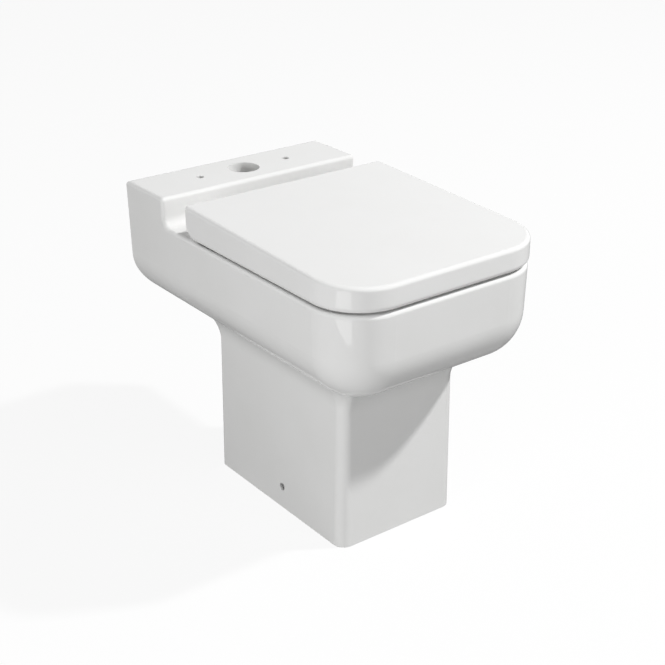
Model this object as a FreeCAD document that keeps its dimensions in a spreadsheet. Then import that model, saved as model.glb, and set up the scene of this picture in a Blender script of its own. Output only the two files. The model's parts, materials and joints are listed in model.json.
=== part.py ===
import FreeCAD, Part
import math
import os
from types import SimpleNamespace

import Sketcher
from FreeCAD import Placement, Rotation, Vector

# Driving sizes in millimetres, angles in degrees
sizes = {
    # Ceramic pan, outside
    "pan_width": 360.0,
    "pan_depth": 554.0,
    "platform_height": 461.0,
    "platform_rise": 45.0,
    "platform_depth": 106.0,
    "front_corner": 80.0,
    "bowl_draft": 1.5,
    "belly_height": 272.0,
    "belly_radius": 74.0,
    "belly_overlap": 1.0,
    "rear_round": 60.0,
    "deck_fillet": 14.0,
    "upstand_seam": 5.0,
    "edge_round": 6.0,
    "pedestal_width": 214.0,
    "pedestal_length": 317.5,
    "pedestal_setback": 107.0,
    "pedestal_draft": 0.55,
    "pedestal_front_corner": 18.0,
    "pedestal_rear_corner": 8.0,
    "pedestal_inner_corner": 6.0,
    "junction_fillet": 60.0,
    # Ceramic pan, inside
    "wall": 10.0,
    "deck_thickness": 12.0,
    "rim_edge_round": 5.0,
    "opening_width": 256.0,
    "opening_length": 291.0,
    "opening_setback": 44.0,
    "opening_corner": 85.0,
    "bowl_height": 310.0,
    "bowl_width": 210.0,
    "bowl_length": 222.0,
    "bowl_setback": 85.0,
    "bowl_corner": 75.0,
    "throat_height": 250.0,
    "throat_width": 150.0,
    "throat_length": 122.0,
    "throat_setback": 131.0,
    "throat_corner": 58.0,
    "neck_height": 170.0,
    "neck_width": 104.0,
    "neck_length": 74.0,
    "neck_setback": 145.0,
    "neck_corner": 36.0,
    "sump_height": 62.0,
    "sump_width": 86.0,
    "sump_length": 60.0,
    "sump_setback": 155.0,
    "sump_corner": 28.0,
    "trap_bore": 41.0,
    "trap_bend": 52.0,
    "trap_entry_setback": 187.0,
    "trap_dip_setback": 256.0,
    "trap_crest_setback": 307.0,
    "trap_crest_height": 294.0,
    "trap_fall_setback": 403.0,
    "outlet_height": 180.0,
    "outlet_reach": 65.0,
    "window_width": 300.0,
    "window_sill": 345.0,
    "window_lintel": 21.0,
    "flush_inlet_radius": 25.0,
    "flush_inlet_setback": 53.0,
    "flush_duct_width": 80.0,
    "flush_duct_height": 20.0,
    "flush_duct_wall": 8.0,
    "flush_duct_drop": 2.0,
    "flush_duct_lead": 14.0,
    "cistern_bolt_spacing": 160.0,
    "cistern_bolt_radius": 6.0,
    # Lid and seat
    "lid_gap": 2.5,
    "lid_length": 387.5,
    "lid_front_height": 36.5,
    "lid_rear_height": 49.5,
    "lid_rear_corner": 8.0,
    "lid_edge_round": 6.0,
    "lid_wall": 4.5,
    "lid_lip": 3.0,
    "notch_height": 18.0,
    "notch_clearance": 2.0,
    "seat_clearance": 3.0,
    "seat_thickness": 21.0,
    "seat_rear_clearance": 1.5,
    "seat_rear_corner": 30.0,
    "seat_opening_width": 236.0,
    "seat_opening_length": 242.0,
    "seat_opening_setback": 65.0,
    "seat_opening_corner": 90.0,
    "seat_edge_round": 6.0,
    "buffer_radius": 8.0,
    "lid_buffer_radius": 6.0,
    "buffer_spread": 300.0,
    "front_buffer_setback": 72.0,
    "rear_buffer_setback": 257.0,
    # Hinges
    "hinge_spacing": 155.0,
    "hinge_setback": 22.5,
    "hinge_hole_radius": 8.0,
    "hinge_block_width": 23.0,
    "hinge_block_length": 24.0,
    "hinge_block_radius": 11.0,
    "knuckle_width": 15.0,
    "knuckle_radius": 10.0,
    "knuckle_foot": 16.0,
    "knuckle_gap": 0.5,
    "pin_radius": 4.0,
    "bush_radius": 6.5,
    "running_clearance": 0.05,
    "slide_clearance": 0.2,
    "post_radius": 5.0,
    "post_height": 15.0,
    "post_flange_radius": 11.0,
    "post_flange_height": 3.0,
    "groove_depth": 1.0,
    "groove_height": 1.6,
    "groove_level": 7.4,
    "gasket_height": 1.0,
    "stud_radius": 4.0,
    "stud_length": 38.0,
    "thread_clearance": 0.05,
    "washer_radius": 12.0,
    "washer_height": 2.5,
    "nut_radius": 7.5,
    "nut_height": 6.5,
    "clip_wire_radius": 0.6,
    "clip_leg": 8.1,
    "button_width": 12.0,
    "button_height": 7.2,
    "button_length": 3.8,
    "button_proud": 2.5,
    "button_travel": 2.0,
    # Floor fixing
    "side_hole_radius": 6.0,
    "side_hole_height": 36.0,
    "side_hole_setback": 256.0,
    "sleeve_length": 5.0,
    "screw_radius": 3.0,
    "screw_length": 22.0,
    "screw_head_radius": 5.2,
    "screw_head_height": 2.6,
    "bracket_length": 56.0,
    "bracket_width": 38.0,
    "bracket_height": 58.0,
    "bracket_plate": 4.0,
    "floor_screw_radius": 4.0,
    "floor_screw_spacing": 148.0,
}


class Size:
    # A size with its value and with the formula that ties it to the sheet
    def __init__(self, text, value):
        self.text = text
        self.value = value

    def __add__(self, other):
        other = as_size(other)
        return Size(f"({self.text} + {other.text})", self.value + other.value)

    def __sub__(self, other):
        other = as_size(other)
        return Size(f"({self.text} - {other.text})", self.value - other.value)

    def __mul__(self, other):
        other = as_size(other)
        return Size(f"({self.text} * {other.text})", self.value * other.value)

    def __truediv__(self, other):
        other = as_size(other)
        return Size(f"({self.text} / {other.text})", self.value / other.value)

    def __neg__(self):
        return Size(f"(0 - {self.text})", -self.value)

    def limit(self, other):
        return Size(f"min({self.text}; {other.text})", min(self.value, other.value))

    def tan(self):
        return Size(f"tan({self.text})", math.tan(math.radians(self.value)))


def as_size(value):
    return value if isinstance(value, Size) else Size(repr(float(value)), float(value))


doc = FreeCAD.newDocument("CloseCoupledPan")
sheet = doc.addObject("Spreadsheet::Sheet", "Sizes")
for row, (name, value) in enumerate(sizes.items(), start=1):
    sheet.set(f"A{row}", name)
    sheet.set(f"B{row}", str(value))
    sheet.setAlias(f"B{row}", name)
doc.recompute()
s = SimpleNamespace(**{name: Size(f"Sizes.{name}", value) for name, value in sizes.items()})

# Places worked out from the driving sizes: the front faces -Y and the floor is at z = 0
front = -(s.pan_depth / 2)
rear = s.pan_depth / 2
half_width = s.pan_width / 2
rim_height = s.platform_height - s.platform_rise
deck_underside = rim_height - s.deck_thickness
window_head = s.platform_height - s.window_lintel
platform_front = rear - s.platform_depth
pedestal_front = front + s.pedestal_setback
pedestal_rear = pedestal_front + s.pedestal_length
overhang = half_width - s.pedestal_width / 2
belly_round = s.belly_radius.limit(overhang + s.belly_overlap)
lid_bottom = rim_height + s.lid_gap
lid_rear = front + s.lid_length
lid_slope = (s.lid_rear_height - s.lid_front_height) / s.lid_length
ceiling_slope = (s.lid_rear_height - s.lid_front_height) / (s.lid_length - s.lid_wall * 2)
axis_y = lid_rear - s.hinge_setback
axis_z = lid_bottom + s.hinge_setback
seat_top = lid_bottom + s.seat_thickness
seat_rear = axis_y - s.hinge_setback - s.seat_rear_clearance
hinge_x = s.hinge_spacing / 2
post_base = rim_height + s.gasket_height
post_top = post_base + s.post_flange_height
side_hole_y = front + s.side_hole_setback


def bind(item, name, size):
    item.setExpression(name, as_size(size).text)


def plane(body, role):
    return next(item for item in body.Origin.OriginFeatures if item.Role == role)


def new_body(name):
    return doc.addObject("PartDesign::Body", name)


def new_sketch(body, name, role, offset=0.0):
    sketch = body.newObject("Sketcher::SketchObject", name)
    sketch.AttachmentSupport = [(plane(body, role), "")]
    sketch.MapMode = "FlatFace"
    bind(sketch, "AttachmentOffset.Base.z", offset)
    return sketch


def constrain(sketch, kind, references, size=None):
    if size is None:
        sketch.addConstraint(Sketcher.Constraint(kind, *references))
        return
    size = as_size(size)
    index = sketch.addConstraint(Sketcher.Constraint(kind, *references, size.value))
    bind(sketch, f"Constraints[{index}]", size)


def outline(sketch, corners, closed=True):
    # Straight runs through the corners (u, v, radius), with a tangent arc where a radius is given
    spots = [Vector(as_size(u).value, as_size(v).value, 0) for u, v, _ in corners]
    count = len(spots)
    ends = []
    for i, (spot, (_, _, radius)) in enumerate(zip(spots, corners)):
        if radius is None:
            ends.append((spot, spot, None))
            continue
        back = (spots[i - 1] - spot).normalize()
        ahead = (spots[(i + 1) % count] - spot).normalize()
        half = back.getAngle(ahead) / 2
        reach = as_size(radius).value / math.tan(half)
        centre = spot + (back + ahead).normalize() * (as_size(radius).value / math.sin(half))
        ends.append((spot + back * reach, spot + ahead * reach, centre))
    marks = []
    for spot, (u, v, _) in zip(spots, corners):
        mark = sketch.addGeometry(Part.Point(spot), True)
        constrain(sketch, "DistanceX", (-1, 1, mark, 1), u)
        constrain(sketch, "DistanceY", (-1, 1, mark, 1), v)
        marks.append(mark)
    runs = []
    for i in range(count if closed else count - 1):
        j = (i + 1) % count
        run = sketch.addGeometry(Part.LineSegment(ends[i][1], ends[j][0]), False)
        for corner, end in ((i, 1), (j, 2)):
            if corners[corner][2] is None:
                constrain(sketch, "Coincident", (run, end, marks[corner], 1))
            else:
                constrain(sketch, "PointOnObject", (marks[corner], 1, run))
        runs.append(run)
    for i, (start, stop, centre) in enumerate(ends):
        if centre is None:
            continue
        radius = corners[i][2]
        turns_left = (spots[i] - spots[i - 1]).cross(spots[(i + 1) % count] - spots[i]).z > 0
        first, last = (start, stop) if turns_left else (stop, start)
        angles = [math.atan2(point.y - centre.y, point.x - centre.x) for point in (first, last)]
        circle = Part.Circle(centre, Vector(0, 0, 1), as_size(radius).value)
        arc = sketch.addGeometry(Part.ArcOfCircle(circle, *angles), False)
        entry, leave = (1, 2) if turns_left else (2, 1)
        constrain(sketch, "Tangent", (runs[i - 1], 2, arc, entry))
        constrain(sketch, "Tangent", (arc, leave, runs[i], 1))
        constrain(sketch, "Radius", (arc,), radius)


def rectangle(sketch, left, right, low, high, low_radius=None, high_radius=None):
    corners = [(left, low, low_radius), (right, low, low_radius)]
    corners += [(right, high, high_radius), (left, high, high_radius)]
    outline(sketch, corners)


def ring(sketch, radius, u=0.0, v=0.0):
    centre = Vector(as_size(u).value, as_size(v).value, 0)
    circle = Part.Circle(centre, Vector(0, 0, 1), as_size(radius).value)
    index = sketch.addGeometry(circle, False)
    constrain(sketch, "Radius", (index,), radius)
    constrain(sketch, "DistanceX", (-1, 1, index, 3), u)
    constrain(sketch, "DistanceY", (-1, 1, index, 3), v)


def extrude(body, kind, name, sketch, length, reverse=False, symmetric=False, taper=None):
    feature = body.newObject(f"PartDesign::{kind}", name)
    feature.Profile = sketch
    bind(feature, "Length", length)
    feature.Reversed = reverse
    feature.SideType = "Symmetric" if symmetric else "One side"
    if taper is not None:
        bind(feature, "TaperAngle", taper)
    doc.recompute()
    return feature


def fillet(body, name, radius, chosen):
    base = body.Tip
    edges = [f"Edge{i}" for i, edge in enumerate(base.Shape.Edges, start=1) if chosen(edge)]
    feature = body.newObject("PartDesign::Fillet", name)
    feature.Base = (base, edges)
    bind(feature, "Radius", radius)
    doc.recompute()
    return feature


def loft(body, name, sections):
    feature = body.newObject("PartDesign::AdditiveLoft", name)
    feature.Profile = sections[0]
    feature.Sections = sections[1:]
    doc.recompute()
    return feature


def pipe(body, name, profile, spine):
    feature = body.newObject("PartDesign::AdditivePipe", name)
    feature.Profile = profile
    feature.Spine = spine
    doc.recompute()
    return feature


def place(item, x, y, z):
    for axis, size in zip("xyz", (x, y, z)):
        bind(item, f"Placement.Base.{axis}", size)


def box(name, low, high):
    item = doc.addObject("Part::Box", name)
    for side, a, b in zip(("Length", "Width", "Height"), low, high):
        bind(item, side, as_size(b) - a)
    place(item, *low)
    return item


turns = {
    "X": Rotation(Vector(0, 1, 0), 90),
    "Y": Rotation(Vector(1, 0, 0), -90),
    "Z": Rotation(),
}


def cylinder(name, radius, start, length, axis="Z"):
    item = doc.addObject("Part::Cylinder", name)
    item.Placement = Placement(Vector(), turns[axis])
    bind(item, "Radius", radius)
    bind(item, "Height", length)
    place(item, *start)
    return item


def cut(name, base, *tools):
    for number, tool in enumerate(tools, start=1):
        item = doc.addObject("Part::Cut", name if number == len(tools) else f"{name}_cut{number}")
        item.Base = base
        item.Tool = tool
        base = item
    return base


def fuse(name, base, *tools):
    for number, tool in enumerate(tools, start=1):
        item = doc.addObject("Part::Fuse", name if number == len(tools) else f"{name}_join{number}")
        item.Base = base
        item.Tool = tool
        base = item
    return base


def common(name, base, tool):
    item = doc.addObject("Part::Common", name)
    item.Base = base
    item.Tool = tool
    return item


def group(name, items):
    item = doc.addObject("Part::Compound", name)
    item.Links = items
    return item


def sides():
    return ((-1, "left"), (1, "right"))


def span(side, near_x, far_x):
    # An interval given outward from the middle, ordered for its side
    return (near_x, far_x) if side > 0 else (-as_size(far_x), -as_size(near_x))


def near(a, size, slack=0.02):
    return abs(a - as_size(size).value) < slack


def level_edge(edge, height):
    return near(edge.BoundBox.ZMin, height) and near(edge.BoundBox.ZMax, height)


def vertical_edge(edge, y):
    limits = edge.BoundBox
    upright = limits.ZLength > 1 and limits.XLength < 0.01 and limits.YLength < 0.01
    return upright and near(limits.YMin, y)


def pan_block(name, inset, top, bottom, belly, back_round):
    # The squared bowl with its belly and its rounded back, from the platform's top down
    body = new_body(name)
    plan = new_sketch(body, f"{name}_plan", "XY_Plane", top)
    side = half_width - inset
    beyond = rear + s.platform_depth
    rectangle(plan, -side, side, front + inset, beyond, s.front_corner - inset)
    extrude(body, "Pad", f"{name}_block", plan, top - bottom, reverse=True, taper=-s.bowl_draft)

    def low_edge(edge):
        return level_edge(edge, bottom) and edge.BoundBox.YMin < rear.value

    fillet(body, f"{name}_belly", belly, low_edge)
    back = new_sketch(body, f"{name}_back", "YZ_Plane")
    above = top + s.platform_depth
    below = bottom - s.platform_depth
    away = beyond + s.platform_depth
    back_line = rear - inset
    outline(back, [(back_line, above, None), (back_line, bottom, back_round), (front, bottom, None),
                   (front, below, None), (away, below, None), (away, above, None)])
    extrude(body, "Pocket", f"{name}_back_cut", back, s.pan_width * 2, symmetric=True)
    return body


def pedestal_pad(body, name, inset, low, high, front_corner, rear_corner):
    plan = new_sketch(body, f"{name}_plan", "XY_Plane", low)
    side = s.pedestal_width / 2 - inset
    rectangle(plan, -side, side, pedestal_front + inset, pedestal_rear - inset, front_corner, rear_corner)
    return extrude(body, "Pad", name, plan, high - low, taper=-s.pedestal_draft)


def deck_pocket(body, name, inset, floor):
    side = new_sketch(body, f"{name}_side", "YZ_Plane")
    rectangle(side, front - s.pan_depth, platform_front + inset, floor, s.platform_height * 2)
    return extrude(body, "Pocket", name, side, s.pan_width * 2, symmetric=True)


def pan_outside():
    flush = as_size(0)
    body = pan_block("PanOutside", flush, s.platform_height, s.belly_height, belly_round, s.rear_round)
    deck_pocket(body, "Deck", flush, rim_height)

    def upstand_foot(edge):
        return level_edge(edge, rim_height) and near(edge.BoundBox.YMin, platform_front)

    fillet(body, "DeckFillet", s.deck_fillet, upstand_foot)
    pedestal_pad(body, "Pedestal", flush, as_size(0), s.bowl_height, s.pedestal_front_corner,
                 s.pedestal_rear_corner)
    reach = s.pedestal_width.value / 2 + 1
    junction_top = s.belly_height.value + s.belly_radius.value

    def junction(edge):
        limits = edge.BoundBox
        inside = max(abs(limits.XMin), abs(limits.XMax)) < reach
        inside = inside and limits.YMin > pedestal_front.value - 1 and limits.YMax < pedestal_rear.value + 1
        return inside and limits.ZMin > s.belly_height.value - 1 and limits.ZMax < junction_top

    fillet(body, "Junction", s.junction_fillet, junction)

    def upper_edge(edge):
        limits = edge.BoundBox
        upstand = limits.XLength > half_width.value and limits.ZMax < s.platform_height.value - 1
        return limits.ZMin > rim_height.value - 0.1 and not (upstand and limits.YMin > 0)

    fillet(body, "UpperEdges", s.edge_round, upper_edge)
    return body


def pan_inside():
    top = s.platform_height - s.wall
    body = pan_block("PanInside", s.wall, top, s.belly_height + s.wall, belly_round - s.wall,
                     s.rear_round - s.wall)
    deck_pocket(body, "DeckUnderside", s.wall, deck_underside)
    pedestal_pad(body, "PedestalInside", s.wall, -s.wall, s.bowl_height, s.pedestal_inner_corner,
                 s.pedestal_inner_corner)
    window = new_sketch(body, "Window", "XZ_Plane", -(rear + s.wall))
    rectangle(window, -(s.window_width / 2), s.window_width / 2, s.window_sill, window_head)
    extrude(body, "Pad", "WindowPad", window, s.wall * 4)
    return body


def bowl(name, grow):
    # The bowl from the rim opening through the throat to the sump, grown by the wall for its outside
    body = new_body(name)
    levels = [
        (rim_height, s.opening_width, s.opening_setback, s.opening_length, s.opening_corner),
        (s.bowl_height, s.bowl_width, s.bowl_setback, s.bowl_length, s.bowl_corner),
        (s.throat_height, s.throat_width, s.throat_setback, s.throat_length, s.throat_corner),
        (s.neck_height, s.neck_width, s.neck_setback, s.neck_length, s.neck_corner),
        (s.sump_height - grow, s.sump_width, s.sump_setback, s.sump_length, s.sump_corner),
    ]
    sections = []
    for number, (height, width, setback, length, corner) in enumerate(levels, start=1):
        section = new_sketch(body, f"{name}_level{number}", "XY_Plane", height)
        side = width / 2 + grow
        low = front + setback - grow
        rectangle(section, -side, side, low, low + length + grow * 2, corner + grow, corner + grow)
        sections.append(section)
    loft(body, f"{name}_loft", sections)
    return body, sections[0]


def bowl_hollow():
    body, mouth = bowl("BowlHollow", as_size(0))
    extrude(body, "Pad", "BowlMouth", mouth, s.wall)
    return body


def trap(name, grow, end):
    # The trap rises from the sump over the weir and falls to the level outlet
    body = new_body(name)
    start = front + s.trap_entry_setback
    entry = s.sump_height + s.trap_bore
    spine = new_sketch(body, f"{name}_spine", "YZ_Plane")
    outline(spine, [(start, entry, None), (front + s.trap_dip_setback, entry, s.trap_bend),
                    (front + s.trap_crest_setback, s.trap_crest_height, s.trap_bend),
                    (front + s.trap_fall_setback, s.outlet_height, s.trap_bend),
                    (end, s.outlet_height, None)], closed=False)
    profile = new_sketch(body, f"{name}_profile", "XZ_Plane", -start)
    ring(profile, s.trap_bore + grow, 0.0, entry)
    pipe(body, f"{name}_pipe", profile, spine)
    return body


def flush_way(name, grow, top):
    # The flush enters at the platform, drops into a duct under the deck and runs forward to the bowl
    inlet_y = rear - s.flush_inlet_setback
    duct_top = deck_underside - s.flush_duct_drop + grow
    duct_bottom = duct_top - s.flush_duct_height - grow * 2
    side = s.flush_duct_width / 2 + grow
    bowl_rear = front + s.opening_setback + s.opening_length
    duct_front = bowl_rear - s.flush_duct_lead
    duct = box(f"{name}_duct", (-side, duct_front, duct_bottom), (side, inlet_y + grow, duct_top))
    drop = cylinder(f"{name}_drop", s.flush_inlet_radius + grow, (0, inlet_y, duct_bottom),
                    top - duct_bottom)
    return fuse(name, duct, drop)


def cistern_holes():
    inlet_y = rear - s.flush_inlet_setback
    return [cylinder(f"cistern_hole_{word}", s.cistern_bolt_radius,
                     (s.cistern_bolt_spacing / 2 * side, inlet_y, s.platform_height - s.wall * 2), s.wall * 4)
            for side, word in sides()]


def pan_holes():
    holes = [cylinder(f"hinge_hole_{word}", s.hinge_hole_radius,
                      (hinge_x * side, axis_y, deck_underside - s.wall), s.deck_thickness + s.wall * 2)
             for side, word in sides()]
    side_holes = cylinder("side_holes", s.side_hole_radius,
                          (-half_width, side_hole_y, s.side_hole_height), s.pan_width, "X")
    return holes + [side_holes]


def pan_castings():
    # The pan is cast in six parts, which are stuck face to face before it is fired
    inside = pan_inside()
    hollow = bowl_hollow()
    bowl_outside, _ = bowl("BowlOutside", s.wall)
    above_deck = box("above_deck", (-s.pan_width, front - s.wall, deck_underside),
                     (s.pan_width, rear + s.wall, s.platform_height * 2))
    bowl_block = cut("bowl_block", bowl_outside, above_deck)
    outlet_end = pedestal_rear + s.outlet_reach
    trap_wall = trap("TrapWall", s.wall, outlet_end)
    trap_bore = trap("TrapBore", as_size(0), outlet_end + s.wall)
    flush_wall = flush_way("flush_wall", s.flush_duct_wall, s.platform_height - s.wall / 2)
    flush_bore = flush_way("flush_bore", as_size(0), s.platform_height + s.wall)
    plate_side = half_width - s.wall
    plate = box("platform_plate", (-plate_side, platform_front + s.wall, s.platform_height - s.wall),
                (plate_side, rear - s.wall, s.platform_height))
    duct = common("duct_in_shell", flush_wall, inside)
    inner_parts = [inside, plate, trap_wall, bowl_block, hollow]
    shell = cut("cast_shell", pan_outside(), *inner_parts, *pan_holes())
    # The upstand sits in a rebate of half the deck's thickness, behind the lid
    seam = platform_front - s.deck_fillet - s.upstand_seam
    rebate = box("upstand_rebate", (-s.pan_width, seam, rim_height - s.deck_thickness / 2),
                 (s.pan_width, rear + s.wall, s.platform_height * 2))
    return {
        "pan_shell": cut("pan_shell", shell, rebate),
        "rear_upstand": common("rear_upstand", shell, rebate),
        "pan_bowl": cut("pan_bowl", bowl_block, hollow, trap_bore, flush_bore),
        "trapway": cut("trapway", trap_wall, bowl_block, trap_bore),
        "flush_duct": cut("flush_duct", duct, plate, bowl_block, flush_bore),
        "cistern_platform": cut("cistern_platform", plate, flush_bore, *cistern_holes()),
    }


def round_rim(source):
    # The rim's inner edge is rounded where the bowl opens
    body = new_body("pan_body")
    body.BaseFeature = source
    doc.recompute()
    limit = s.opening_width.value / 2 + 1

    def mouth(edge):
        limits = edge.BoundBox
        ahead = limits.YMax < axis_y.value - s.hinge_hole_radius.value - 1
        return ahead and level_edge(edge, rim_height) and limits.XMax < limit and limits.XMin > -limit

    fillet(body, "RimEdge", s.rim_edge_round, mouth)
    return body


def lid_shell():
    w = s.lid_wall
    top_front = lid_bottom + s.lid_front_height
    top_rear = lid_bottom + s.lid_rear_height
    body = new_body("LidOutside")
    side = new_sketch(body, "LidSide", "YZ_Plane")
    outline(side, [(front, lid_bottom, None), (lid_rear, lid_bottom, s.hinge_setback),
                   (lid_rear, top_rear, None), (front, top_front, None)])
    extrude(body, "Pad", "LidPad", side, s.pan_width, symmetric=True)
    fillet(body, "LidFrontCorners", s.front_corner, lambda edge: vertical_edge(edge, front))
    fillet(body, "LidRearCorners", s.lid_rear_corner, lambda edge: vertical_edge(edge, lid_rear))
    lowest_top = top_front.value - 0.1
    fillet(body, "LidTopEdges", s.lid_edge_round, lambda edge: edge.BoundBox.ZMin > lowest_top)
    inner = new_body("LidInside")
    side = new_sketch(inner, "LidInnerSide", "YZ_Plane")
    lip = axis_y - s.lid_lip
    outline(side, [(front + w, lid_bottom - w, None), (lip, lid_bottom - w, None),
                   (lip, lid_bottom + w, None), (lid_rear - w, lid_bottom + w, s.hinge_setback - w),
                   (lid_rear - w, top_rear - w, None), (front + w, top_front - w, None)])
    extrude(inner, "Pad", "LidInnerPad", side, s.pan_width - w * 2, symmetric=True)
    fillet(inner, "LidInnerCorners", s.front_corner - w,
           lambda edge: vertical_edge(edge, front + w))
    return cut("lid_shell", body, inner)


block_inner = hinge_x - s.hinge_block_width / 2
block_outer = hinge_x + s.hinge_block_width / 2
seat_knuckle = (block_inner - s.knuckle_gap - s.knuckle_width, block_inner - s.knuckle_gap)
lid_knuckle = (block_outer + s.knuckle_gap, block_outer + s.knuckle_gap + s.knuckle_width)


def knuckle(name, side, limits, foot_low, foot_high):
    low, high = span(side, *limits)
    barrel = cylinder(f"{name}_barrel", s.knuckle_radius, (low, axis_y, axis_z), high - low, "X")
    foot = box(f"{name}_foot", (low, foot_low[0], foot_low[1]), (high, foot_high[0], foot_high[1]))
    return fuse(name, foot, barrel)


def knuckle_bore(name, side, limits):
    low, high = span(side, *limits)
    return cylinder(name, s.bush_radius, (low, axis_y, axis_z), high - low, "X")


def seat_lid():
    shell = lid_shell()
    foot_drop = lid_slope * (s.hinge_setback + s.knuckle_radius)
    ceiling = lid_bottom + s.lid_rear_height - s.lid_wall / 2 - foot_drop
    half_foot = s.knuckle_foot / 2
    knuckles = [knuckle(f"lid_knuckle_{word}", side, lid_knuckle, (axis_y - half_foot, axis_z),
                        (axis_y + half_foot, ceiling)) for side, word in sides()]
    solid = fuse("lid_with_knuckles", shell, *knuckles)
    cuts = []
    for side, word in sides():
        low, high = span(side, seat_knuckle[0] - s.notch_clearance, lid_knuckle[0])
        cuts.append(box(f"lid_notch_{word}", (low, axis_y - s.hinge_setback, lid_bottom - s.lid_wall),
                        (high, lid_rear + s.lid_wall, axis_z + s.notch_height)))
        cuts.append(knuckle_bore(f"lid_bore_{word}", side, lid_knuckle))
    return cut("seat_lid", solid, *cuts)


def seat_ring():
    body = new_body("SeatPlate")
    plan = new_sketch(body, "SeatPlan", "XY_Plane", lid_bottom)
    inset = s.lid_wall + s.seat_clearance
    side = half_width - inset
    rectangle(plan, -side, side, front + inset, seat_rear, s.front_corner - inset, s.seat_rear_corner)
    extrude(body, "Pad", "SeatPad", plan, s.seat_thickness)
    hole = new_sketch(body, "SeatHole", "XY_Plane", lid_bottom)
    low = front + s.seat_opening_setback
    rectangle(hole, -(s.seat_opening_width / 2), s.seat_opening_width / 2, low,
              low + s.seat_opening_length, s.seat_opening_corner, s.seat_opening_corner)
    extrude(body, "Pocket", "SeatHolePocket", hole, s.seat_thickness, reverse=True)
    fillet(body, "SeatTopEdges", s.seat_edge_round, lambda edge: level_edge(edge, seat_top))
    foot_low = (seat_rear - s.knuckle_radius, axis_z - s.knuckle_radius)
    foot_high = (axis_y, seat_top - s.seat_edge_round / 2)
    knuckles = [knuckle(f"seat_knuckle_{word}", side, seat_knuckle, foot_low, foot_high)
                for side, word in sides()]
    solid = fuse("seat_with_knuckles", body, *knuckles)
    bores = [knuckle_bore(f"seat_bore_{word}", side, seat_knuckle) for side, word in sides()]
    return cut("seat_ring", solid, *bores)


def tube(name, outer, inner, start, length, axis="Z"):
    return cut(name, cylinder(f"{name}_outer", outer, start, length, axis),
               cylinder(f"{name}_inner", inner, start, length, axis))


def bearing(name, side, limits):
    low, high = span(side, *limits)
    return tube(name, s.bush_radius, s.pin_radius + s.running_clearance, (low, axis_y, axis_z),
                high - low, "X")


clip_level = post_top + s.groove_level + s.groove_height / 2
clip_reach = s.post_radius - s.groove_depth + s.clip_wire_radius + s.running_clearance
button_face = axis_y + s.hinge_block_length / 2
button_rest = button_face + s.button_proud - s.button_length
pocket_floor = button_rest - s.button_travel - s.slide_clearance


def hinge_block(side, word):
    x = hinge_x * side
    low, high = span(side, block_inner, block_outer)
    half_length = s.hinge_block_length / 2
    foot = box(f"block_foot_{word}", (low, axis_y - half_length, post_top),
               (high, axis_y + half_length, axis_z))
    barrel = cylinder(f"block_barrel_{word}", s.hinge_block_radius, (low, axis_y, axis_z), high - low, "X")
    bore = cylinder(f"block_bore_{word}", s.pin_radius, (low, axis_y, axis_z), high - low, "X")
    socket = cylinder(f"block_socket_{word}", s.post_radius + s.running_clearance, (x, axis_y, post_top),
                      s.post_height + s.slide_clearance)
    slot_side = clip_reach + s.clip_wire_radius + s.slide_clearance
    slot_half = s.clip_wire_radius + s.slide_clearance
    slot = box(f"block_slot_{word}", (x - slot_side, axis_y - slot_side, clip_level - slot_half),
               (x + slot_side, pocket_floor, clip_level + slot_half))
    pocket_side = s.button_width / 2 + s.slide_clearance
    pocket_half = s.button_height / 2 + s.slide_clearance
    pocket = box(f"block_pocket_{word}", (x - pocket_side, pocket_floor, clip_level - pocket_half),
                 (x + pocket_side, button_face, clip_level + pocket_half))
    solid = fuse(f"block_solid_{word}", foot, barrel)
    return cut(f"hinge_block_{word}", solid, bore, socket, slot, pocket)


def hinge_pin(side, word):
    low, high = span(side, seat_knuckle[0], lid_knuckle[1])
    return cylinder(f"hinge_pin_{word}", s.pin_radius, (low, axis_y, axis_z), high - low, "X")


def hinge_post(side, word):
    body = new_body(f"hinge_post_{word}")
    profile = new_sketch(body, f"post_profile_{word}", "XZ_Plane")
    groove = s.post_radius - s.groove_depth
    groove_low = post_top + s.groove_level
    groove_high = groove_low + s.groove_height
    stud_end = post_base - s.stud_length
    tip = post_top + s.post_height
    outline(profile, [(0, stud_end, None), (s.stud_radius, stud_end, None), (s.stud_radius, post_base, None),
                      (s.post_flange_radius, post_base, None), (s.post_flange_radius, post_top, None),
                      (s.post_radius, post_top, None), (s.post_radius, groove_low, None),
                      (groove, groove_low, None), (groove, groove_high, None),
                      (s.post_radius, groove_high, None), (s.post_radius, tip, None), (0, tip, None)])
    turn = body.newObject("PartDesign::Revolution", f"post_turn_{word}")
    turn.Profile = profile
    turn.ReferenceAxis = (profile, ["V_Axis"])
    place(body, hinge_x * side, axis_y, 0)
    return body


def release_clip(side, word):
    # A bent wire: it hugs the front half of the post's groove and both legs run back to the button
    body = new_body(f"release_clip_{word}")
    spine = new_sketch(body, f"clip_spine_{word}", "XY_Plane", clip_level)
    bend = clip_reach - s.running_clearance * 2
    outline(spine, [(clip_reach, s.clip_leg, None), (clip_reach, -clip_reach, bend),
                    (-clip_reach, -clip_reach, bend), (-clip_reach, s.clip_leg, None)], closed=False)
    profile = new_sketch(body, f"clip_profile_{word}", "XZ_Plane", -s.clip_leg)
    ring(profile, s.clip_wire_radius, clip_reach, clip_level)
    pipe(body, f"clip_pipe_{word}", profile, spine)
    place(body, hinge_x * side, axis_y, 0)
    return body


def release_button(side, word):
    x = hinge_x * side
    low = (x - s.button_width / 2, button_rest, clip_level - s.button_height / 2)
    high = (x + s.button_width / 2, button_rest + s.button_length, clip_level + s.button_height / 2)
    return box(f"release_button_{word}", low, high)


def deck_rings(name, outer, inner, low, height):
    return group(name, [tube(f"{name}_{word}", outer, inner, (hinge_x * side, axis_y, low), height)
                        for side, word in sides()])


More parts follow.
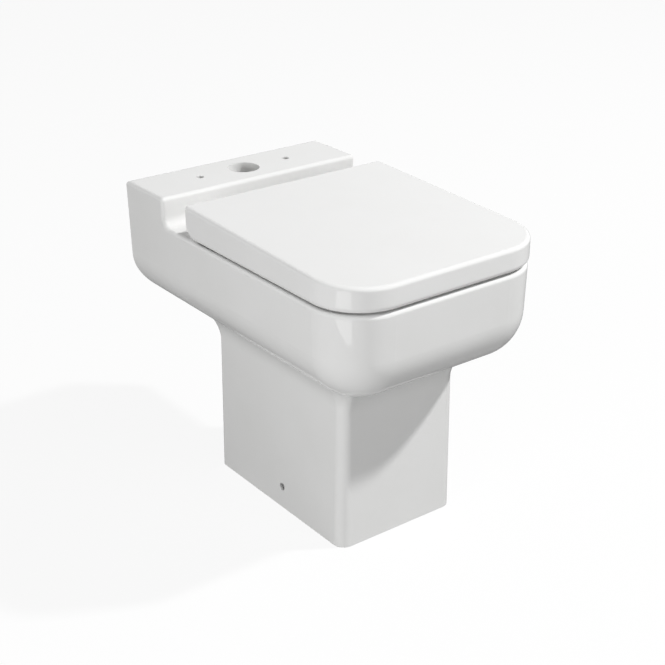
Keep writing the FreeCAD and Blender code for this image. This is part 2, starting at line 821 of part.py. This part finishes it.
def hinge_nuts():
    items = []
    low = deck_underside - s.washer_height - s.nut_height
    for side, word in sides():
        prism = doc.addObject("Part::Prism", f"nut_prism_{word}")
        prism.Polygon = 6
        bind(prism, "Circumradius", s.nut_radius)
        bind(prism, "Height", s.nut_height)
        place(prism, hinge_x * side, axis_y, low)
        bore = cylinder(f"nut_bore_{word}", s.stud_radius + s.thread_clearance,
                        (hinge_x * side, axis_y, low), s.nut_height)
        items.append(cut(f"nut_{word}", prism, bore))
    return group("hinge_nuts", items)


def seat_buffers():
    items = []
    for side, word in sides():
        for setback, end in ((s.front_buffer_setback, "front"), (s.rear_buffer_setback, "rear")):
            items.append(cylinder(f"seat_buffer_{end}_{word}", s.buffer_radius,
                                  (s.buffer_spread / 2 * side, front + setback, rim_height), s.lid_gap))
    return group("seat_buffers", items)


def lid_buffers():
    items = []
    for side, word in sides():
        for setback, end in ((s.front_buffer_setback, "front"), (s.rear_buffer_setback, "rear")):
            rise = ceiling_slope * (setback - s.lid_wall - s.lid_buffer_radius)
            ceiling = lid_bottom + s.lid_front_height - s.lid_wall + rise
            foot = (s.buffer_spread / 2 * side, front + setback, seat_top)
            items.append(cylinder(f"lid_buffer_{end}_{word}", s.lid_buffer_radius, foot, ceiling - seat_top))
    return group("lid_buffers", items)


inner_wall = s.pedestal_width / 2 - s.wall - (s.bracket_height + s.wall) * s.pedestal_draft.tan()
bracket_face = inner_wall - s.slide_clearance


def floor_bracket(side, word):
    near_y = side_hole_y - s.bracket_length / 2
    far_y = side_hole_y + s.bracket_length / 2
    low, high = span(side, bracket_face - s.bracket_width, bracket_face)
    foot = box(f"bracket_foot_{word}", (low, near_y, 0), (high, far_y, s.bracket_plate))
    low, high = span(side, bracket_face - s.bracket_plate, bracket_face)
    upright = box(f"bracket_upright_{word}", (low, near_y, 0), (high, far_y, s.bracket_height))
    hole_x = s.floor_screw_spacing / 2 * side
    floor_hole = cylinder(f"bracket_floor_hole_{word}", s.floor_screw_radius, (hole_x, side_hole_y, 0),
                          s.bracket_plate)
    screw_hole = cylinder(f"bracket_screw_hole_{word}", s.screw_radius + s.thread_clearance,
                          (low, side_hole_y, s.side_hole_height), high - low, "X")
    return cut(f"floor_bracket_{word}", fuse(f"bracket_angle_{word}", foot, upright), floor_hole, screw_hole)


sleeve_start = s.pedestal_width / 2 - s.wall
screw_head_start = sleeve_start + s.sleeve_length


def side_screw_sleeves():
    items = []
    for side, word in sides():
        low, high = span(side, sleeve_start, screw_head_start)
        items.append(tube(f"side_sleeve_{word}", s.side_hole_radius - s.running_clearance,
                          s.screw_radius + s.running_clearance, (low, side_hole_y, s.side_hole_height),
                          high - low, "X"))
    return group("side_screw_sleeves", items)


def side_fixing_screws():
    items = []
    for side, word in sides():
        low, high = span(side, screw_head_start - s.screw_length, screw_head_start)
        shank = cylinder(f"side_screw_shank_{word}", s.screw_radius, (low, side_hole_y, s.side_hole_height),
                         high - low, "X")
        low, high = span(side, screw_head_start, screw_head_start + s.screw_head_height)
        head = cylinder(f"side_screw_head_{word}", s.screw_head_radius,
                        (low, side_hole_y, s.side_hole_height), high - low, "X")
        items.append(fuse(f"side_screw_{word}", shank, head))
    return group("side_fixing_screws", items)


nodes = {}
castings = pan_castings()
doc.recompute()
nodes["pan_body"] = round_rim(castings["pan_shell"])
for name in ("pan_bowl", "trapway", "flush_duct", "rear_upstand", "cistern_platform"):
    nodes[name] = castings[name]
nodes["seat_lid"] = seat_lid()
nodes["seat_ring"] = seat_ring()
for side, word in sides():
    nodes[f"hinge_block_{word}"] = hinge_block(side, word)
    nodes[f"hinge_pin_{word}"] = hinge_pin(side, word)
    nodes[f"hinge_post_{word}"] = hinge_post(side, word)
    nodes[f"release_clip_{word}"] = release_clip(side, word)
    nodes[f"release_button_{word}"] = release_button(side, word)
    nodes[f"floor_bracket_{word}"] = floor_bracket(side, word)
nodes["seat_bush"] = bearing("seat_bush", -1, seat_knuckle)
nodes["lid_bush"] = bearing("lid_bush", -1, lid_knuckle)
nodes["seat_damper"] = bearing("seat_damper", 1, seat_knuckle)
nodes["lid_damper"] = bearing("lid_damper", 1, lid_knuckle)
stud_hole = s.stud_radius + s.thread_clearance
nodes["hinge_gaskets"] = deck_rings("hinge_gaskets", s.post_flange_radius, stud_hole, rim_height,
                                    s.gasket_height)
nodes["hinge_hole_bushes"] = deck_rings("hinge_hole_bushes", s.hinge_hole_radius - s.running_clearance,
                                        stud_hole, deck_underside, s.deck_thickness)
nodes["hinge_washers"] = deck_rings("hinge_washers", s.washer_radius, stud_hole,
                                    deck_underside - s.washer_height, s.washer_height)
nodes["hinge_nuts"] = hinge_nuts()
nodes["seat_buffers"] = seat_buffers()
nodes["lid_buffers"] = lid_buffers()
nodes["side_screw_sleeves"] = side_screw_sleeves()
nodes["side_fixing_screws"] = side_fixing_screws()
doc.recompute()


def check_and_write():
    for item in doc.Objects:
        if "Invalid" in item.State or "Error" in item.State:
            raise RuntimeError(f"{item.Label} failed: {item.State}")
    os.makedirs("parts", exist_ok=True)
    for name, item in nodes.items():
        item.Label = name
        if item.Shape.isNull() or not item.Shape.isValid() or not item.Shape.Solids:
            raise RuntimeError(f"{name} has no valid solid")
        print(name, len(item.Shape.Solids), round(item.Shape.Volume))
        item.Shape.exportStep(f"parts/{name}.step")


check_and_write()
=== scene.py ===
import bpy
import json
import math
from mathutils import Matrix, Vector

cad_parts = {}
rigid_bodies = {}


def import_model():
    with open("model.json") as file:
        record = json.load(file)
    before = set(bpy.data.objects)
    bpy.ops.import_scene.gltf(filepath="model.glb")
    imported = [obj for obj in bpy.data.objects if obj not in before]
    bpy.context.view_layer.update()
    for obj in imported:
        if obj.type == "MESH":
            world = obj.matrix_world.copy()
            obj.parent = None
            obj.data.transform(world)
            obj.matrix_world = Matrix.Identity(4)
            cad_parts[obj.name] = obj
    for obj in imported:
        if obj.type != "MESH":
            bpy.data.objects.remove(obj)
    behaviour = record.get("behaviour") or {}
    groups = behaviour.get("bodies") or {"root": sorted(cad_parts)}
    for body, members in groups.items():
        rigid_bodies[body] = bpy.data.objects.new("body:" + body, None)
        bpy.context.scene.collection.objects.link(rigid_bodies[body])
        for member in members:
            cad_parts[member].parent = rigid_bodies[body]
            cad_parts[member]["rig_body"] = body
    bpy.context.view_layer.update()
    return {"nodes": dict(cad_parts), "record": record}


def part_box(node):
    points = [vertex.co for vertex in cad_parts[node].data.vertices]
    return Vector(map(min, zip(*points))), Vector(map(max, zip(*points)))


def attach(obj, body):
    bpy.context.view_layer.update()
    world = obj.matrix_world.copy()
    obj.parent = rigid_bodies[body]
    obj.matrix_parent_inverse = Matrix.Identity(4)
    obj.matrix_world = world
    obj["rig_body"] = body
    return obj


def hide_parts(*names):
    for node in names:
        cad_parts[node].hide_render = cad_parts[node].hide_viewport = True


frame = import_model()
nodes = frame["nodes"]
print("frame loaded:", len(nodes), "nodes")


# Node material helpers, each fed by a noise pattern

noiseSpan = {"detail": 3.0, "rampFrom": 0.3, "rampTo": 0.7, "rangeFrom": 0.25, "rangeTo": 0.75}


def noiseOn(tree, place, pattern):
    if "stretch" in pattern:
        mapping = tree.nodes.new("ShaderNodeMapping")
        mapping.inputs["Scale"].default_value = pattern["stretch"]
        tree.links.new(place, mapping.inputs["Vector"])
        place = mapping.outputs["Vector"]
    noise = tree.nodes.new("ShaderNodeTexNoise")
    noise.inputs["Scale"].default_value = pattern["scale"]
    noise.inputs["Detail"].default_value = pattern.get("detail", noiseSpan["detail"])
    tree.links.new(place, noise.inputs["Vector"])
    return noise.outputs["Fac"]


def colourFrom(tree, shader, place, colour):
    ramp = tree.nodes.new("ShaderNodeValToRGB")
    ramp.color_ramp.elements[0].position = noiseSpan["rampFrom"]
    ramp.color_ramp.elements[0].color = colour["low"]
    ramp.color_ramp.elements[1].position = noiseSpan["rampTo"]
    ramp.color_ramp.elements[1].color = colour["high"]
    tree.links.new(noiseOn(tree, place, colour), ramp.inputs["Fac"])
    tree.links.new(ramp.outputs["Color"], shader.inputs["Base Color"])


def roughnessFrom(tree, shader, place, rough):
    spread = tree.nodes.new("ShaderNodeMapRange")
    spread.inputs["From Min"].default_value = noiseSpan["rangeFrom"]
    spread.inputs["From Max"].default_value = noiseSpan["rangeTo"]
    spread.inputs["To Min"].default_value = rough["low"]
    spread.inputs["To Max"].default_value = rough["high"]
    tree.links.new(noiseOn(tree, place, rough), spread.inputs["Value"])
    tree.links.new(spread.outputs["Result"], shader.inputs["Roughness"])


def bumpFrom(tree, shader, place, grain):
    bump = tree.nodes.new("ShaderNodeBump")
    bump.inputs["Strength"].default_value = grain["strength"]
    bump.inputs["Distance"].default_value = grain["depth"]
    tree.links.new(noiseOn(tree, place, grain), bump.inputs["Height"])
    tree.links.new(bump.outputs["Normal"], shader.inputs["Normal"])


def finish(name, look):
    material = bpy.data.materials.new(name)
    material.use_nodes = True
    tree = material.node_tree
    shader = tree.nodes["Principled BSDF"]
    place = tree.nodes.new("ShaderNodeTexCoord").outputs["Object"]
    colourFrom(tree, shader, place, look["colour"])
    roughnessFrom(tree, shader, place, look["rough"])
    bumpFrom(tree, shader, place, look["grain"])
    for socket, value in look.get("shader", {}).items():
        shader.inputs[socket].default_value = value
    return material


def grey(level, warmth=0.0):
    return (level, level, level * (1 - warmth), 1)


# Finishes

whiteGlaze = {
    "colour": {"scale": 9.0, "low": grey(0.845, 0.012), "high": grey(0.868, 0.008)},
    "rough": {"scale": 26.0, "low": 0.014, "high": 0.026},
    "grain": {"scale": 38.0, "detail": 1.0, "strength": 0.025, "depth": 0.0006},  # lies a little uneven
    "shader": {"IOR": 1.52},
}
glossSeatPlastic = {
    "colour": {"scale": 14.0, "low": grey(0.862, 0.01), "high": grey(0.876, 0.006)},
    "rough": {"scale": 90.0, "detail": 5.0, "low": 0.022, "high": 0.036},
    "grain": {"scale": 70.0, "detail": 1.0, "strength": 0.02, "depth": 0.0003},
    "shader": {"IOR": 1.5},
}
turningMarks = {"scale": 60.0, "detail": 4.0, "stretch": (1.0, 1.0, 40.0)}
turnedSteel = {
    "colour": {**turningMarks, "low": grey(0.52), "high": grey(0.66)},
    "rough": {**turningMarks, "low": 0.22, "high": 0.36},
    "grain": {**turningMarks, "strength": 0.2, "depth": 0.0001},
    "shader": {"Metallic": 1.0},
}
roughSpread = 0.06


def mouldedPlastic(dark, light, rough, grain=900.0, warmth=0.0):
    smooth = rough - roughSpread
    matt = rough + roughSpread
    return {
        "colour": {"scale": 160.0, "low": grey(dark, warmth), "high": grey(light, warmth)},
        "rough": {"scale": 420.0, "detail": 4.0, "low": smooth, "high": matt},
        "grain": {"scale": grain, "detail": 2.0, "strength": 0.25, "depth": 0.00012},
    }


def softRubber(dark, light):
    return {
        "colour": {"scale": 220.0, "low": grey(dark), "high": grey(light)},
        "rough": {"scale": 500.0, "detail": 4.0, "low": 0.55, "high": 0.78},
        "grain": {"scale": 1100.0, "detail": 2.0, "strength": 0.3, "depth": 0.0001},
        "shader": {"Specular IOR Level": 0.3},
    }


satinHingePlastic = mouldedPlastic(dark=0.72, light=0.78, rough=0.42, warmth=0.01)
greyButtonPlastic = mouldedPlastic(dark=0.26, light=0.31, rough=0.45)
naturalBearingPlastic = mouldedPlastic(dark=0.68, light=0.78, rough=0.5, warmth=0.04)
darkDamperPlastic = mouldedPlastic(dark=0.022, light=0.032, rough=0.4)
bracketPlastic = mouldedPlastic(dark=0.07, light=0.09, rough=0.55, grain=500.0)
blackRubber = softRubber(dark=0.012, light=0.02)
paleBufferRubber = softRubber(dark=0.56, light=0.62)

finishes = {
    "glaze": finish("whiteGlaze", whiteGlaze),
    "seat_plastic": finish("glossSeatPlastic", glossSeatPlastic),
    "hinge_plastic": finish("satinHingePlastic", satinHingePlastic),
    "button_plastic": finish("greyButtonPlastic", greyButtonPlastic),
    "bearing_plastic": finish("naturalBearingPlastic", naturalBearingPlastic),
    "damper_plastic": finish("darkDamperPlastic", darkDamperPlastic),
    "bracket_plastic": finish("bracketPlastic", bracketPlastic),
    "steel": finish("turnedSteel", turnedSteel),
    "rubber": finish("blackRubber", blackRubber),
    "buffer_rubber": finish("paleBufferRubber", paleBufferRubber),
}
for part in frame["record"]["subparts"]:
    surface = nodes[part["node"]].data
    surface.materials.clear()
    surface.materials.append(finishes[part["material_slot"]])
print("finishes made:", len(finishes))


# Helpers for shaping a piece by hand

def onlyThis(piece):
    if bpy.context.mode != "OBJECT":
        bpy.ops.object.mode_set(mode="OBJECT")
    bpy.ops.object.select_all(action="DESELECT")
    piece.select_set(True)
    bpy.context.view_layer.objects.active = piece


def pickFaces(piece, test):
    onlyThis(piece)
    bpy.ops.object.mode_set(mode="EDIT")
    bpy.ops.mesh.select_mode(type="FACE")
    bpy.ops.mesh.select_all(action="DESELECT")
    bpy.ops.object.mode_set(mode="OBJECT")
    for face in piece.data.polygons:
        face.select = test(face)
    bpy.ops.object.mode_set(mode="EDIT")


softening = {"weld": 0.000002, "flatAngle": 0.5, "sharpAngle": 40, "smoothAngle": 35}


def softened(node, name, width, steps=2):
    # A copy of the node, its corners broken by a small round
    piece = bpy.data.objects.new(name, nodes[node].data.copy())
    bpy.context.scene.collection.objects.link(piece)
    onlyThis(piece)
    bpy.ops.mesh.customdata_custom_splitnormals_clear()
    bpy.ops.object.mode_set(mode="EDIT")
    bpy.ops.mesh.select_all(action="SELECT")
    bpy.ops.mesh.remove_doubles(threshold=softening["weld"])
    bpy.ops.mesh.dissolve_limited(angle_limit=math.radians(softening["flatAngle"]))
    bpy.ops.mesh.select_mode(type="EDGE")
    bpy.ops.mesh.select_all(action="DESELECT")
    bpy.ops.mesh.edges_select_sharp(sharpness=math.radians(softening["sharpAngle"]))
    bpy.ops.mesh.bevel(offset=width, segments=steps, clamp_overlap=True)
    bpy.ops.object.mode_set(mode="OBJECT")
    bpy.ops.object.shade_smooth_by_angle(angle=math.radians(softening["smoothAngle"]))
    return piece


def settle(piece, *stoodFor):
    # The piece takes its finish and its body from the nodes that it stands for
    part = next(p for p in frame["record"]["subparts"] if p["node"] == stoodFor[0])
    piece.data.materials.clear()
    piece.data.materials.append(finishes[part["material_slot"]])
    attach(piece, nodes[stoodFor[0]]["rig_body"])
    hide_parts(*stoodFor)


def cutWith(piece, cutter):
    onlyThis(piece)
    cut = piece.modifiers.new("recess", "BOOLEAN")
    cut.operation = "DIFFERENCE"
    cut.object = cutter
    cut.solver = "EXACT"
    bpy.ops.object.modifier_apply(modifier=cut.name)
    bpy.data.objects.remove(cutter)


# Release buttons with finger ridges

releaseButton = {
    "round": 0.0009,
    "roundSteps": 3,
    "frame": 0.0012,
    "sink": 0.0003,
    "ridges": 4,
    "ridgeRise": 0.0004,
    "facesBack": 0.99,
    "padNear": 0.00002,
}
for side in ("left", "right"):
    node = "release_button_" + side
    low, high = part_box(node)
    name = "releaseButton" + side.capitalize()
    button = softened(node, name, releaseButton["round"], releaseButton["roundSteps"])
    backFaces = [face for face in button.data.polygons if face.normal.y > releaseButton["facesBack"]]
    thumb = max(backFaces, key=lambda face: face.area).index
    pickFaces(button, lambda face: face.index == thumb)
    bpy.ops.mesh.inset(thickness=releaseButton["frame"], depth=-releaseButton["sink"])
    padY = high.y - releaseButton["sink"]
    padLow = low.z + releaseButton["round"] + releaseButton["frame"]
    padHigh = high.z - releaseButton["round"] - releaseButton["frame"]
    bands = releaseButton["ridges"] * 2 - 1
    step = (padHigh - padLow) / bands
    for cut in range(1, bands):
        pickFaces(button, lambda face: abs(face.center.y - padY) < releaseButton["padNear"])
        bpy.ops.mesh.bisect(plane_co=(0, padY, padLow + step * cut), plane_no=(0, 0, 1))
    pickFaces(
        button,
        lambda face: abs(face.center.y - padY) < releaseButton["padNear"]
        and round((face.center.z - padLow) / step - 0.5) % 2 == 0,
    )
    rise = (0, releaseButton["ridgeRise"], 0)
    bpy.ops.mesh.extrude_region_move(TRANSFORM_OT_translate={"value": rise})
    bpy.ops.object.mode_set(mode="OBJECT")
    settle(button, node)
print("release buttons ridged")


# Hinge housings, posts, nuts and the small rubber and steel pieces, with their corners broken

brokenCorners = {  # node: name of the piece, width of the round in metres, steps
    "hinge_block_left": ("hingeHousingLeft", 0.0010, 3),
    "hinge_block_right": ("hingeHousingRight", 0.0010, 3),
    "hinge_pin_left": ("hingePinLeft", 0.0006, 2),
    "hinge_pin_right": ("hingePinRight", 0.0006, 2),
    "hinge_post_left": ("hingePostLeft", 0.0005, 2),
    "hinge_post_right": ("hingePostRight", 0.0005, 2),
    "hinge_gaskets": ("postGaskets", 0.0003, 2),
    "hinge_washers": ("clampWashers", 0.0005, 2),
    "hinge_nuts": ("clampNuts", 0.0006, 2),
    "seat_buffers": ("seatBuffers", 0.0012, 4),
    "lid_buffers": ("lidBuffers", 0.0014, 4),
    "floor_bracket_left": ("floorBracketLeft", 0.0008, 2),
    "floor_bracket_right": ("floorBracketRight", 0.0008, 2),
}
for node, (name, width, steps) in brokenCorners.items():
    settle(softened(node, name, width, steps), node)
print("small pieces softened:", len(brokenCorners))


# Side fixing screws with a cross recess in each head

sideScrew = {"edge": 0.0004, "slotLong": 0.0058, "slotWide": 0.0012, "slotDeep": 0.0013}
low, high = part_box("side_fixing_screws")
screws = softened("side_fixing_screws", "sideFixingScrews", sideScrew["edge"])
for headFace in (low.x, high.x):
    for long, wide in (("slotLong", "slotWide"), ("slotWide", "slotLong")):
        bpy.ops.mesh.primitive_cube_add(
            size=1,
            location=(headFace, (low.y + high.y) / 2, (low.z + high.z) / 2),
            scale=(sideScrew["slotDeep"] * 2, sideScrew[long], sideScrew[wide]),
        )
        cutWith(screws, bpy.context.object)
settle(screws, "side_fixing_screws")
print("side screws recessed")


# Camera at the photograph's viewing angle

cameraPlace = {
    "stand": (-1.11653, -1.48411, 1.11351),
    "pitchDown": 24.74,
    "turn": -37.09,
    "focalPixels": 1351.59,
    "framePixels": 665,
    "sensor": 36.0,
}
bpy.ops.object.camera_add(location=cameraPlace["stand"])
camera = bpy.context.object
camera.rotation_euler = (
    math.radians(90 - cameraPlace["pitchDown"]),
    0,
    math.radians(cameraPlace["turn"]),
)
camera.data.sensor_width = cameraPlace["sensor"]
camera.data.lens = cameraPlace["focalPixels"] / cameraPlace["framePixels"] * cameraPlace["sensor"]
bpy.context.scene.camera = camera
print("camera set, lens", round(camera.data.lens, 2), "mm")


# White world and pale floor

studio = {
    "worldLight": 0.234,
    "floorSize": 12.0,
    "floorSeen": 0.9,
    "floorBounce": 0.3,
    "floorGlow": 0.9,
}


def seenDirectly(tree):
    # 1 for rays from the camera, and for those seen in a mirror or through glass
    path = tree.nodes.new("ShaderNodeLightPath")
    first = tree.nodes.new("ShaderNodeMath")
    first.operation = "MAXIMUM"
    second = tree.nodes.new("ShaderNodeMath")
    second.operation = "MAXIMUM"
    tree.links.new(path.outputs["Is Camera Ray"], first.inputs[0])
    tree.links.new(path.outputs["Is Glossy Ray"], first.inputs[1])
    tree.links.new(first.outputs[0], second.inputs[0])
    tree.links.new(path.outputs["Is Transmission Ray"], second.inputs[1])
    return second.outputs[0]


def whiteWorld():
    world = bpy.data.worlds.new("studioWorld")
    world.use_nodes = True
    tree = world.node_tree
    around = tree.nodes["Background"]
    around.inputs["Color"].default_value = (1, 1, 1, 1)
    around.inputs["Strength"].default_value = studio["worldLight"]
    seen = tree.nodes.new("ShaderNodeBackground")
    seen.inputs["Color"].default_value = (1, 1, 1, 1)
    seen.inputs["Strength"].default_value = 1.0
    mix = tree.nodes.new("ShaderNodeMixShader")
    tree.links.new(seenDirectly(tree), mix.inputs["Fac"])
    tree.links.new(around.outputs[0], mix.inputs[1])
    tree.links.new(seen.outputs[0], mix.inputs[2])
    tree.links.new(mix.outputs[0], tree.nodes["World Output"].inputs["Surface"])
    bpy.context.scene.world = world


def paleFloor():
    bpy.ops.mesh.primitive_plane_add(size=studio["floorSize"], location=(0, 0, 0))
    floor = bpy.context.object
    floor.name = "studioFloor"
    material = bpy.data.materials.new("paleFloor")
    material.use_nodes = True
    tree = material.node_tree
    tree.nodes.remove(tree.nodes["Principled BSDF"])
    seen = tree.nodes.new("ShaderNodeBsdfDiffuse")
    seen.inputs["Color"].default_value = grey(studio["floorSeen"])
    bounce = tree.nodes.new("ShaderNodeBsdfDiffuse")
    bounce.inputs["Color"].default_value = grey(studio["floorBounce"])
    glow = tree.nodes.new("ShaderNodeEmission")
    glow.inputs["Color"].default_value = (1, 1, 1, 1)
    glow.inputs["Strength"].default_value = 1.0
    lit = tree.nodes.new("ShaderNodeMixShader")
    lit.inputs["Fac"].default_value = studio["floorGlow"]  # the rest is matt and shows the shadow
    path = tree.nodes.new("ShaderNodeLightPath")
    mix = tree.nodes.new("ShaderNodeMixShader")
    tree.links.new(seen.outputs[0], lit.inputs[1])
    tree.links.new(glow.outputs[0], lit.inputs[2])
    tree.links.new(path.outputs["Is Camera Ray"], mix.inputs["Fac"])
    tree.links.new(bounce.outputs[0], mix.inputs[1])
    tree.links.new(lit.outputs[0], mix.inputs[2])
    tree.links.new(mix.outputs[0], tree.nodes["Material Output"].inputs["Surface"])
    floor.data.materials.append(material)


whiteWorld()
paleFloor()
print("floor and world made")


# Studio lights

lamps = {
    "keyRight": {
        "stand": (3.40, -2.25, 4.60),
        "aim": (0, -0.15, 0.2),
        "size": (0.3, 0.3),
        "power": 300.0,
    },
    "leftPanel": {
        "stand": (-2.8, -0.9, 0.55),
        "aim": (0, 0, 0.3),
        "size": (1.6, 1.0),
        "power": 44.0,
    },
    "frontPanel": {
        "stand": (0.9, -3.0, 1.5),
        "aim": (0, 0, 0.3),
        "size": (1.6, 1.0),
        "power": 13.0,
    },
}
stripLight = {
    "stand": (-1.016, -0.599, 0.004),
    "turn": 35.8,
    "size": (0.42, 0.52),
    "power": 1.25,
}


def areaLamp(name, stand, size, power):
    data = bpy.data.lights.new(name, "AREA")
    data.shape = "RECTANGLE"
    data.size, data.size_y = size
    data.energy = power
    lamp = bpy.data.objects.new(name, data)
    bpy.context.scene.collection.objects.link(lamp)
    lamp.location = stand
    lamp.visible_camera = False
    return lamp


for name, lampSet in lamps.items():
    lamp = areaLamp(name, lampSet["stand"], lampSet["size"], lampSet["power"])
    toAim = Vector(lampSet["aim"]) - Vector(lampSet["stand"])
    lamp.rotation_euler = toAim.to_track_quat("-Z", "Y").to_euler()
    lamp.visible_glossy = False  # the white room gives the reflections

strip = areaLamp("cornerStrip", stripLight["stand"], stripLight["size"], stripLight["power"])
strip.rotation_euler = (math.pi, 0, math.radians(stripLight["turn"]))  # faces up from the floor
strip.visible_diffuse = False
print("lights set:", len(lamps) + 1)


bpy.context.scene.view_settings.view_transform = "Standard"
